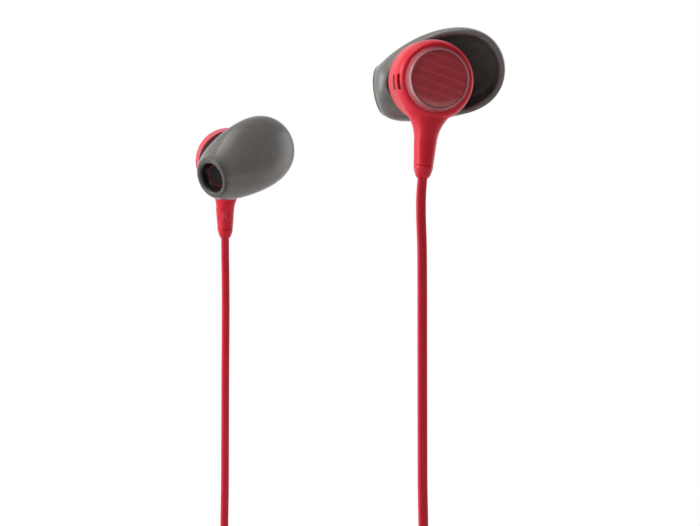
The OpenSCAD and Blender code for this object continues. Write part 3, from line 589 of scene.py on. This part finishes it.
letter_sheen_red = finish("letter_sheen_red", letter_painted_sheen)
for side in earbuds:
    way = 1 if side == "right" else -1
    glyph = bpy.data.curves.new(side + "_glyph", "FONT")
    glyph.body, glyph.align_x, glyph.align_y = side[0].upper(), "CENTER", "CENTER"
    glyph.size, glyph.extrude, glyph.offset = letter_size, letter_depth, letter_weight
    stamp = bpy.data.objects.new(side + "_glyph", glyph)
    bpy.context.scene.collection.objects.link(stamp)
    letter = baked(stamp)
    fix = bmesh.new()
    fix.from_mesh(letter)
    bmesh.ops.remove_doubles(fix, verts=fix.verts, dist=1e-5)
    for corner in fix.verts:
        across, up, out = corner.co
        lift = 2 * letter_depth if out > 0 else -2 * letter_depth
        corner.co = Vector(moved(side, [letter_x + across * way, stem_back(across) + lift,
                                        letter_z + up]) / PER_METRE)
    bmesh.ops.recalc_face_normals(fix, faces=fix.faces)
    fix.to_mesh(letter)
    add_mesh(side + "_letter", letter, letter_sheen_red, smooth=30)

# Rings and discs. A polished ring of clear red plastic stands round each face, and a disc
# of the same red with fine slanted lines under a clear lacquer sits in it.
ring_foot_r, ring_crest, ring_lip = 6.6, -6.85, 0.09
disc_r, disc_back, disc_face, disc_edge = 5.7, -5.65, -6.55, 0.12
middle_r = 0.001


def ring_surface(wire):
    cloud = speckle(wire, 260.0)
    return {"Base Color": between(cloud, colour(182, 116, 122), colour(196, 132, 138)),
            "Roughness": 0.1 + 0.06 * cloud}


def lined_disc(wire):
    slanted = wire.node("Mapping", {"Vector": wire.node("TexCoord", out="Object"),
                                    "Rotation": (0, math.radians(72), 0)})
    waves = wire.node("TexWave", {"Vector": slanted, "Scale": 175.0, "Distortion": 0.5,
                                  "Detail": 1.0},
                      out="Fac", bands_direction="X", wave_profile="SIN")
    lines = wire.maths("POWER", waves, 6.0)
    tone = 0.26 * lines + 0.5 * speckle(wire, 180.0)
    return {"Base Color": between(tone, colour(178, 44, 55), colour(212, 74, 84)),
            "Roughness": 0.16 + 0.14 * lines,
            "Normal": bump(lines, 0.15, 0.00003)}


clear_red = finish("ring_red", ring_surface, Metallic=0.35, Coat_Weight=0.6,
                   Coat_Roughness=0.03)
lacquered_disc = finish("disc_red", lined_disc, Coat_Weight=0.7, Coat_Roughness=0.06)
lip_y = ring_crest + ring_lip
ring = turned(lathe(
    [(window_r, seat_y), (ring_foot_r, seat_y), (ring_foot_r, -5.15)]
    + bend((5.975, lip_y), ring_lip, ring_lip, 5, -90, 6) + [(5.84, ring_crest)]
    + bend((5.84, lip_y), ring_lip, ring_lip, -100, -180, 5) + [(5.75, -5.6), (window_r, -5.6)],
    160))
disc = turned(lathe(
    [(middle_r, disc_back), (disc_r, disc_back)]
    + bend((disc_r - disc_edge, disc_face + disc_edge), disc_edge, disc_edge, 0, -90, 5)
    + [(3, disc_face), (middle_r, disc_face)], 128))
for side in earbuds:
    add(side + "_ring", in_place(side, ring), clear_red, [side + "_bezel_ring"])
    add(side + "_lined_disc", in_place(side, disc), lacquered_disc,
        [side + "_face_disc"], smooth=30)

# Ear tips. Each is one soft moulding in smoke-grey silicone: a bell that hangs round the
# back of the drum, a lip that seals the ear, and a core that snaps over the nozzle.
tip_sides, wall, thicker, grip_r = 120, 0.75, 0.4, 4.0
half_lip, lip_reach = 0.575, 0.45
mouth_rear, mouth_front, mouth_tall, mouth_skew = 12.2, 12.4, 8.4, 0.24
mouth_lift, lift_turn, mouth_dip = 2, math.radians(114), 1.7
end_r, end_set, leaving_pull, arriving_pull = 5.2, 0.4, 0.9, 1.1


def unit(v):
    """A vector, or each of many, at a length of 1."""
    return v / np.linalg.norm(v, axis=-1, keepdims=True)


def level(v, normal):
    """The direction of a vector as it lies in the plane across a normal."""
    return unit(v - v @ normal * normal)


mouth, mouth_n = np.array([3.65, 2.65, 1.7]), unit(np.array([0.2, 1, 0.25]))
end, end_n = np.array([-6.75, 12.3, -2]), unit(np.array([-0.82, 0.55, -0.19]))
nozzle, nozzle_n = end - 2.3 * end_n, unit(np.array([-0.66, 0.74, -0.13]))
mouth_turn = math.radians(20.5)
mouth_x = level(np.array([math.cos(mouth_turn), 0, math.sin(mouth_turn)]), mouth_n)
end_x = level(mouth_x, end_n)
nozzle_x = level(end_x, nozzle_n)
around = np.linspace(0, 2 * math.pi, tip_sides, endpoint=False)


def circle(centre, normal, across, radius, back):
    """A ring of points at a distance behind a centre."""
    up = np.cross(normal, across)
    return centre - back * normal + radius * (np.outer(np.cos(around), across)
                                              - np.outer(np.sin(around), up))


def bell(angle, s):
    """A point of the bell's outside for each angle, from its mouth (0) to its end (1)."""
    c, k = np.cos(angle), np.sin(angle)
    mouth_z = -np.cross(mouth_n, mouth_x)
    half_long = np.where(c > 0, mouth_rear, mouth_front)
    half_tall = mouth_tall * (1 + mouth_skew * c)
    start = mouth + np.outer(half_long * c, mouth_x) + np.outer(half_tall * k, mouth_z)
    lifted = mouth_lift * np.maximum(0, np.cos(angle - lift_turn)) ** 2
    start[:, 1] += lifted - mouth_dip * np.maximum(0, -c) ** 2
    outward = np.outer(c, end_x) - np.outer(k, np.cross(end_n, end_x))
    stop = end - end_set * end_n + end_r * outward
    reach = np.linalg.norm(stop - start, axis=1)[:, None]
    w = ((1 - np.cos(angle - math.radians(7))) / 2)[:, None]
    flare = (0.19 + 0.13 * c)[:, None] * (np.outer(c, mouth_x) + np.outer(k, mouth_z))
    slant = np.radians(32 - 30 * c)[:, None]
    leaving = leaving_pull * reach * unit((1 - w) * mouth_n + w * end_n + flare)
    arriving = arriving_pull * reach * (np.cos(slant) * end_n - np.sin(slant) * outward)
    return hermite(s, start, leaving, stop, arriving)


def bell_inward(angle, s):
    """The directions into the bell's wall from its outside."""
    along = bell(angle, min(1, s + 0.01)) - bell(angle, max(0, s - 0.01))
    return unit(np.cross(bell(angle + 0.02, s) - bell(angle - 0.02, s), along))


def smoke_silicone(wire):
    cloud, grain = speckle(wire, 140.0), speckle(wire, 2600.0, 1.0)
    bell_grey = between(cloud, colour(112, 109, 106), colour(126, 123, 120))
    # Painted shade: the Base Color goes from the bell's grey to near black as the core value of
    # the mesh rises, so the throat, the core and the inside of the bell look shaded.
    core = wire.node("Attribute", out="Fac", attribute_name="core")
    return {"Base Color": between(core, bell_grey, colour(34, 30, 29)),
            "Roughness": 0.22 + 0.12 * cloud,
            "Normal": bump(grain, 0.1, 0.00003)}


silicone = finish("silicone_grey", smoke_silicone, IOR=1.41, Transmission_Weight=0.04)
levels = np.linspace(0, 1, 37)
outside = [bell(around, s) for s in levels]
opening = [circle(end, end_n, end_x, *ring_at) for ring_at in (
    (5.14, 0.2), (4.98, 0.02), (4.7, -0.1), (4.4, -0.14), (4.1, -0.08), (3.82, 0.08),
    (3.62, 0.35), (3.5, 0.9), (3.4, 1.6))]
snap = [circle(nozzle, nozzle_n, nozzle_x, *ring_at) for ring_at in (
    (3.1, 0.1), (3.1, 2.4), (3.1, 4.7), (3.55, 4.85), (grip_r, 4.7), (grip_r, 3.0),
    (grip_r, 1.4))] + [circle(end, end_n, end_x, grip_r, 2)]
inside = [bell(around, s) + (wall + thicker * (1 - s) ** 3) * bell_inward(around, s)
          for s in levels[::-1]]
edge, inward = bell(around, 0), bell_inward(around, 0)
rearward = unit(edge - bell(around, 0.02))
lip = [edge + half_lip * (1 - math.cos(a)) * inward + lip_reach * math.sin(a) * rearward
       for a in np.linspace(0, math.pi, 7)[-2:0:-1]]
rows = outside + opening + snap + inside + lip
tip_form = (np.vstack(rows), skin(len(rows), tip_sides, closed=True))
# How dark each row is painted: painted shade darkens the silicone round the nozzle, in the
# throat and the core over it, and inside the bell.
tone = ([0] * 33 + [0.04, 0.1, 0.22, 0.42] + [0.6, 0.66, 0.68, 0.7, 0.74, 0.85, 0.95, 1, 1]
        + [1] * len(snap) + [0.3] * len(inside) + [0] * len(lip))
for side in earbuds:
    tip = add(side + "_silicone_tip", in_place(side, tip_form), silicone,
              [side + "_ear_tip"], side + "_tip", 70)
    painted_shade_layer = tip.data.attributes.new("core", "FLOAT", "POINT")
    painted_shade_layer.data.foreach_set("value", np.repeat(tone, tip_sides).astype(float))

# Rear covers, meshes and vents. The inner side of each drum is closed by a domed cover in
# a darker red, whose nozzle carries the tip; its red is darkened further as painted shade for
# the nozzle in the tip's throat. A fine black mesh closes the nozzle and the two vents.
gauze_gap, gauze_deep = 0.02, 0.36


def stripes(wire, scale, direction):
    """Fine even stripes over a piece."""
    place = wire.node("TexCoord", out="Object")
    return wire.node("TexWave", {"Vector": place, "Scale": scale}, out="Fac",
                     bands_direction=direction)


def woven_mesh(wire):
    weave = stripes(wire, 1500.0, "X") * stripes(wire, 1500.0, "Z")
    return {"Base Color": between(weave, (0.004, 0.004, 0.004, 1), (0.05, 0.05, 0.052, 1)),
            "Roughness": 0.7 - 0.2 * weave,
            "Normal": bump(weave, 0.6, 0.00005)}


def cover_red_and_painted_shade(wire):
    cloud = speckle(wire, 240.0)
    # Partly the cover's own darker red and partly painted shade: the red is made darker still
    # so that the nozzle inside the tip's throat looks shaded.
    return {"Base Color": between(cloud, colour(66, 3, 10), colour(80, 5, 14)),
            "Roughness": 0.45 + 0.15 * cloud}


black_mesh = finish("mesh_dark", woven_mesh, Specular_IOR_Level=0.1)
dark_red_and_shade = finish("cover_red_and_painted_shade", cover_red_and_painted_shade, Specular_IOR_Level=0.2)
strips = joined(*[capsule(x - gauze_deep, x + gauze_gap, y, vent_z, vent_width - gauze_gap,
                          vent_length - gauze_gap) for x, y in vents])
for side in earbuds:
    dressed(side + "_rear_cover", dark_red_and_shade)
    dressed(side + "_nozzle_mesh", black_mesh)
    gauze = bmesh.new()
    gauze.from_mesh(nodes[side + "_vent_screens"].data)
    corners = [gauze.verts.new(p) for p in moved(side, strips[0]) / PER_METRE]
    for face in strips[1]:
        gauze.faces.new([corners[i] for i in face])
    bmesh.ops.recalc_face_normals(gauze, faces=gauze.faces)
    mesh = bpy.data.meshes.new(side + "_vent_gauze")
    gauze.to_mesh(mesh)
    add_mesh(side + "_vent_gauze", mesh, black_mesh, [side + "_vent_screens"])

# Loudspeakers. Behind the rear cover a black frame holds the magnet system, the coil and
# the film, with a steel front plate over them and a small board for the lead's two wires.


def plain_metal(tint, low, high):
    """The surface of a bare metal, with its roughness from low to high."""
    def surface(wire):
        cloud = speckle(wire, 500.0, 3.0)
        stretched = wire.node("Mapping", {"Vector": wire.node("TexCoord", out="Object"),
                                          "Scale": (4000, 4000, 300)})
        scratch = wire.node("TexNoise", {"Vector": stretched, "Scale": 1.0, "Detail": 2.0})
        dark = tuple(v * 0.82 for v in tint[:3]) + (1,)
        return {"Base Color": between(cloud, dark, tint),
                "Roughness": low + (high - low) * scratch,
                "Normal": bump(scratch, 0.1, 0.00002)}
    return surface


def matt_black(wire):
    cloud, grain = speckle(wire, 300.0), speckle(wire, 6000.0)
    return {"Base Color": between(cloud, colour(34, 34, 36), colour(46, 46, 49)),
            "Roughness": 0.42 + 0.14 * cloud,
            "Normal": bump(grain, 0.3, 0.00003)}


def copper_wire(wire):
    turns = stripes(wire, 1800.0, "Y")
    return {"Base Color": between(turns, colour(120, 62, 34), colour(196, 116, 72)),
            "Roughness": 0.3 + 0.15 * turns,
            "Normal": bump(turns, 0.4, 0.00005)}


def amber_film(wire):
    cloud = speckle(wire, 700.0)
    return {"Base Color": between(cloud, colour(196, 160, 96), colour(216, 184, 122)),
            "Roughness": 0.2 + 0.15 * cloud,
            "Normal": bump(cloud, 0.2, 0.00005)}


def solder_mask(wire):
    place = wire.node("TexCoord", out="Object")
    cell = wire.node("TexVoronoi", {"Vector": place, "Scale": 900.0}, out="Distance")
    return {"Base Color": between(cell, colour(20, 84, 48), colour(36, 112, 66)),
            "Roughness": 0.35 + 0.2 * cell,
            "Normal": bump(cell, 0.2, 0.00004)}


black_plastic = finish("frame_black", matt_black)
bare_steel = finish("steel", plain_metal((0.55, 0.56, 0.58, 1), 0.25, 0.45), Metallic=1.0)
nickel = finish("magnet_steel", plain_metal((0.68, 0.69, 0.71, 1), 0.08, 0.2), Metallic=1.0)
enamelled = finish("copper", copper_wire, Metallic=0.8)
film = finish("film_amber", amber_film)
board = finish("board_green", solder_mask, Coat_Weight=0.4)
speaker_finishes = {
    "driver_frame": black_plastic, "yoke": bare_steel, "magnet": nickel,
    "pole_plate": bare_steel, "voice_coil": enamelled, "diaphragm": film,
    "front_plate": bare_steel, "terminal_board": board, "lead_wires": enamelled}
for side in earbuds:
    for part, material in speaker_finishes.items():
        dressed(side + "_" + part, material)

# Splitter. Two snapped halves of glossy red plastic close on a clamp block, where the two
# leads meet the main cord.


def softened(node, material, radius, body="earphones"):
    """A CAD node's mesh with its edges eased, in place of the node."""
    mesh = nodes[node].data.copy()
    clean = bmesh.new()
    clean.from_mesh(mesh)
    bmesh.ops.remove_doubles(clean, verts=clean.verts, dist=1e-6)
    bmesh.ops.dissolve_limit(clean, angle_limit=math.radians(1), verts=clean.verts,
                             edges=clean.edges)
    clean.to_mesh(mesh)
    blank = bpy.data.objects.new(node + "_blank", mesh)
    bpy.context.scene.collection.objects.link(blank)
    rounding = blank.modifiers.new("rounding", "BEVEL")
    rounding.width, rounding.segments = radius / PER_METRE, 3
    rounding.limit_method, rounding.angle_limit = "ANGLE", math.radians(30)
    add_mesh(node + "_eased", baked(blank), material, [node], body)


for node in ("y_split_top", "y_split_base"):
    softened(node, polished_red, 0.25)
dressed("y_split_clamp", black_plastic)

# Remote. Two satin shells on the left lead hold a small board with a switch and a
# microphone, and one key stands through the upper shell.


def satin_key(wire):
    cloud, grain = speckle(wire, 260.0), speckle(wire, 7000.0)
    return {"Base Color": between(cloud, colour(150, 14, 34), colour(164, 20, 42)),
            "Roughness": 0.3 + 0.12 * cloud,
            "Normal": bump(grain, 0.25, 0.00003)}


key_red = finish("key_red", satin_key)
for node in ("remote_top_shell", "remote_base_shell"):
    softened(node, moulded_red, 0.2)
softened("remote_button", key_red, 0.15, "button")
dressed("remote_board", board)
dressed("remote_switch", bare_steel)
dressed("remote_microphone", bare_steel)

# Plug and tie. The gold-plated pin has a tip, two rings and a sleeve between thin black
# collars. A moulded grip and a ribbed relief hold it, and a strap holds the coil.


def gold_plating(wire):
    cloud = speckle(wire, 400.0, 3.0)
    return {"Base Color": between(cloud, colour(226, 178, 92), colour(240, 200, 120)),
            "Roughness": 0.12 + 0.14 * cloud}


def strap_rubber(wire):
    cloud, ribs = speckle(wire, 200.0), stripes(wire, 900.0, "X")
    return {"Base Color": between(cloud, colour(24, 24, 25), colour(34, 34, 35)),
            "Roughness": 0.5 + 0.15 * cloud,
            "Normal": bump(ribs, 0.4, 0.00008)}


gold = finish("gold_plate", gold_plating, Metallic=1.0)
strap = finish("strap_black", strap_rubber)
for node in ("plug_tip", "plug_rings", "plug_sleeve"):
    dressed(node, gold)
dressed("plug_insulators", black_plastic)
softened("plug_body", moulded_red, 0.25)
softened("plug_strain_relief", polished_red, 0.12)
softened("cable_tie", strap, 0.2)
